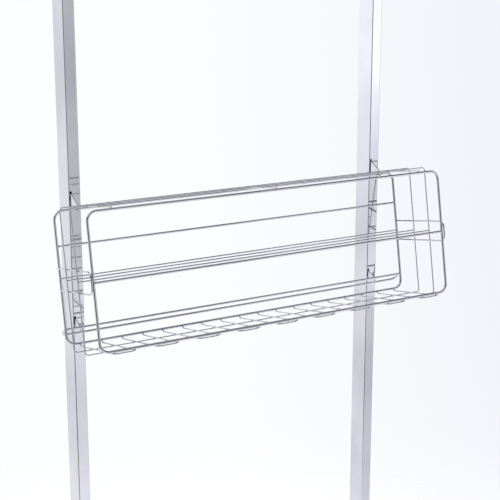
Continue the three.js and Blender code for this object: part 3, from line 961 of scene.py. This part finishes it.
room = {
    "floorReach": 7.0, "floorSides": 96, "fadeFrom": 1.0, "fadeTo": 2.7, "roughness": 0.9,
    "floorTone": (0.85, 0.855, 0.87, 1), "floorMottle": (0.82, 0.825, 0.84, 1), "mottleScale": 1.2,
    # The backdrop's second colour is painted shade for its darker right side, and the pair after it is
    # where that shade fades in.
    "mottleDetail": 3.0, "mottleShare": 0.3, "backdrop": (0.98, 0.985, 0.995, 1),
    "backdropRight": (0.89, 0.895, 0.95, 1), "tintFrom": (0.45, 0.72),
}
outline = ringOf(Vector(), Vector((room["floorReach"], 0, 0)), Vector((0, room["floorReach"], 0)),
                 room["floorSides"])
floorMesh = bpy.data.meshes.new("floor")
floorMesh.from_pydata(outline, [], [tuple(range(room["floorSides"]))])
floor = bpy.data.objects.new("floor", floorMesh)
scene.collection.objects.link(floor)
floorFinish = newMaterial("pale floor")
here = floorFinish.place()
distance = floorFinish.node("ShaderNodeVectorMath", {"operation": "LENGTH"}, {0: here}, "Value")
mottle = floorFinish.noise(here, room["mottleScale"], room["mottleDetail"]) * room["mottleShare"]
tone = floorFinish.blendColour(mottle, room["floorTone"], room["floorMottle"])
fade = 1 - distance.eased(room["fadeFrom"], room["fadeTo"])
floorMesh.materials.append(floorFinish.surface(Base_Color=tone, Roughness=room["roughness"], Alpha=fade))

# What the chrome mirrors, by direction: a softbox and ceiling above, a white wall behind, a lit panel at
# the front right, and a darker room elsewhere. The dictionary has each patch's strength, and the pairs
# of numbers in the sums are where it fades in and out. Turn is the heading from the front, in radians.
# The lamp lights the floor and the dull parts, and stays out of the mirrors.
studio = {
    "dark": (0.12, 0.115, 0.135, 1), "white": (1.0, 1.0, 1.03, 1), "softbox": 1.4,
    "softboxAim": (-0.55, 0.15, 0.82), "ceiling": 0.5, "wall": 0.95, "wallFlank": 0.55, "glint": 0.26,
    "panel": 1.38, "panelLow": 0.95, "screen": 0.60, "low": 0.98, "lowRight": 0.74, "sideWall": 0.59,
    "lamp": 3.1, "lampSpread": 40,
}
sky = Finish(bpy.data.worlds.new("studio"), "ShaderNodeOutputWorld")
scene.world = sky.owner
east, north, up = sky.parts(sky.node("ShaderNodeTexCoord", output="Generated"))
west = 0 - east
turn = sky.node("ShaderNodeMath", {"operation": "ARCTAN2"}, {0: east, 1: 0 - north})
aim = Vector(studio["softboxAim"]).normalized()
softbox = (east * aim.x + north * aim.y + up * aim.z).eased(0.895, 0.955) * studio["softbox"]
flank = east.eased(0.25, 0.5).most(west.eased(0.68, 0.8))
wall = north.eased(0.05, 0.4) * (1 - up.eased(0.25, 0.6)) * (1 - flank * studio["wallFlank"])
wall = wall * studio["wall"]
sides = east.size().eased(0.87, 0.95) * (1 - up.eased(0.1, 0.4)) * studio["sideWall"]
glint = west.eased(0.48, 0.56) * north.eased(0.3, 0.5) * up.within((-0.24, -0.16), (0.1, 0.2))
glint = glint * studio["glint"]
panelLevel = studio["panelLow"] + up.eased(-0.20, -0.10) * (studio["panel"] - studio["panelLow"])
panel = turn.within((0.50, 0.60), (0.80, 0.95)) * up.within((-0.32, -0.26), (0.05, 0.3)) * panelLevel
screen = turn.within((-0.1, 0.15), (0.50, 0.60)) * (1 - up.eased(0.0, 0.25)) * studio["screen"]
lowLevel = studio["low"] - turn.eased(0.5, 0.58) * (studio["low"] - studio["lowRight"])
low = turn.eased(0.05, 0.3) * (1 - up.eased(-0.27, -0.2)) * lowLevel
ceiling = up.eased(0.72, 0.92) * studio["ceiling"]
level = softbox.most(ceiling) + wall.most(sides) + glint + panel + screen
lit = sky.blendColour(level.most(low).least(1.0), studio["dark"], studio["white"])
glow = sky.node("ShaderNodeBackground", {}, {"Color": lit, "Strength": level.most(1.0)})
# Painted shade on the backdrop the camera sees: near white at the left, turning to a darker bluish grey
# towards the right.
tint = sky.blendColour(east.eased(*room["tintFrom"]), room["backdrop"], room["backdropRight"])
paper = sky.node("ShaderNodeBackground", {}, {"Color": tint, "Strength": 1.0})
path = sky.node("ShaderNodeLightPath", output="Is Camera Ray")
shown = sky.node("ShaderNodeMixShader", {}, {0: path, 1: glow, 2: paper})
sky.tree.links.new(shown.socket, sky.ending.inputs["Surface"])

lamp = bpy.data.objects.new("lamp", bpy.data.lights.new("lamp", "SUN"))
scene.collection.objects.link(lamp)
lamp.data.energy = studio["lamp"]
lamp.data.angle = math.radians(studio["lampSpread"])
lamp.rotation_euler = aim.to_track_quat("Z", "Y").to_euler()
lamp.visible_glossy = False

basketMiddle = (frontMiddle + rearMiddle) / 2
view = {"lens": 89.3, "heading": -31.31, "pitch": 13.78, "offset": (-0.9529, -1.5335, 0.4488)}
camera = bpy.data.objects.new("camera", bpy.data.cameras.new("camera"))
scene.collection.objects.link(camera)
camera.data.lens = view["lens"]
camera.data.clip_end = 200
camera.location = basketMiddle + Vector(view["offset"])
camera.rotation_euler = (math.radians(90 - view["pitch"]), 0, math.radians(view["heading"]))
scene.camera = camera
scene.view_settings.view_transform = "Standard"
print("studio made")
